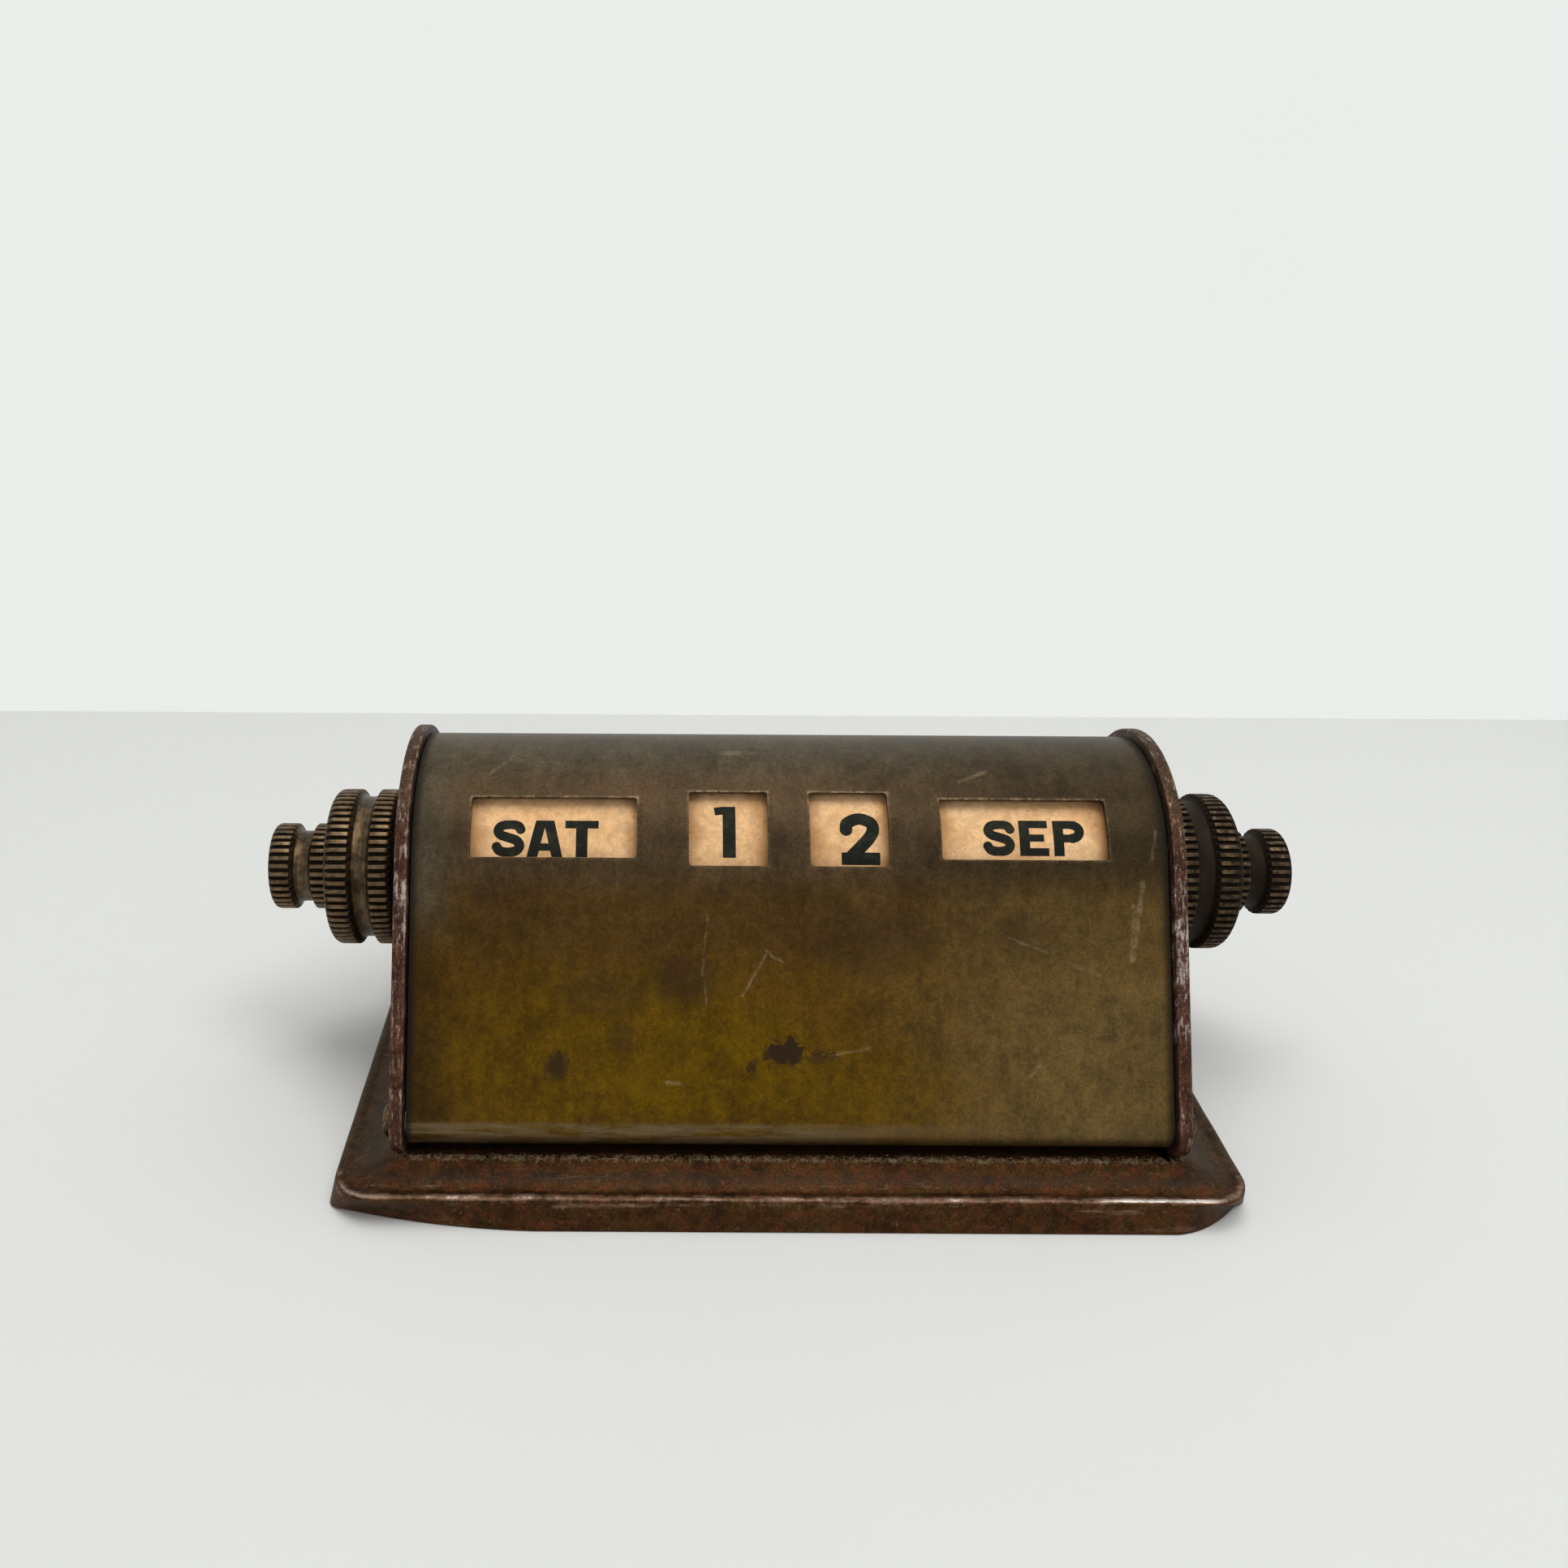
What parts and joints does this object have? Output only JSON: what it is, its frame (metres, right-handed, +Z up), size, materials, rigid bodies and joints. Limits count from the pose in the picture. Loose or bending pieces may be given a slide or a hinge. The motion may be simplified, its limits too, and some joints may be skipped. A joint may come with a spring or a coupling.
{
  "type": "perpetual desk calendar",
  "caption": "Desk calendar with a sloping patinated brass case, cut windows over lettered paper rollers, and coaxial knurled spool knobs at both ends that turn the rollers.",
  "frame": {"origin": "centre of the base footprint, on the surface that the calendar stands on", "axes": "+Z up, +X to the right of a reader who faces the windows, along the roller axis, +Y from the reader to the back"},
  "size_m": [0.1594, 0.073, 0.0577],
  "materials": {
    "brown_brass": "reddish brown patina, worn at the edges",
    "olive_brass": "dark olive brown patina, brushed, worn golden low down",
    "knob_brass": "olive patina with bright worn tooth tips",
    "inner_brass": "plain turned or sheet brass",
    "steel": "plain steel",
    "tinplate": "thin tinned sheet",
    "aged_paper": "aged tan paper with printed lettering",
    "baize": "dark green baize"
  },
  "bodies": {
    "case": {"baize_pad": "baize", "base_casting": "brown_brass", "base_screws": "steel", "cover_shell": "olive_brass", "front_tie_bar": "inner_brass", "left_bush": "inner_brass", "left_bush_nut": "inner_brass", "left_drag_washer": "steel", "left_end_plate": "brown_brass", "left_middle_bracket": "inner_brass", "rear_tie_bar": "inner_brass", "right_bush": "inner_brass", "right_bush_nut": "inner_brass", "right_drag_washer": "steel", "right_end_plate": "brown_brass", "right_middle_bracket": "inner_brass", "tie_bar_screws": "steel"},
    "weekday_roller": {"weekday_band": "aged_paper", "weekday_drum": "tinplate", "weekday_drum_cap": "tinplate", "weekday_grub_screw": "steel", "weekday_large_knob": "knob_brass", "weekday_sleeve": "inner_brass"},
    "tens_roller": {"tens_band": "aged_paper", "tens_drum": "tinplate", "tens_grub_screw": "steel", "tens_small_knob": "knob_brass", "tens_spindle": "steel"},
    "units_roller": {"units_band": "aged_paper", "units_drum": "tinplate", "units_grub_screw": "steel", "units_small_knob": "knob_brass", "units_spindle": "steel"},
    "month_roller": {"month_band": "aged_paper", "month_drum": "tinplate", "month_drum_cap": "tinplate", "month_grub_screw": "steel", "month_large_knob": "knob_brass", "month_sleeve": "inner_brass"}
  },
  "joints": [
    {"name": "weekday_roller_turn", "type": "hinge", "parent": "case", "child": "weekday_roller", "pos_m": [0, 0.0075, 0.035], "axis": [1, 0, 0], "continuous": true},
    {"name": "tens_roller_turn", "type": "hinge", "parent": "case", "child": "tens_roller", "pos_m": [0, 0.0075, 0.035], "axis": [1, 0, 0], "continuous": true},
    {"name": "units_roller_turn", "type": "hinge", "parent": "case", "child": "units_roller", "pos_m": [0, 0.0075, 0.035], "axis": [1, 0, 0], "continuous": true},
    {"name": "month_roller_turn", "type": "hinge", "parent": "case", "child": "month_roller", "pos_m": [0, 0.0075, 0.035], "axis": [1, 0, 0], "continuous": true}
  ]
}
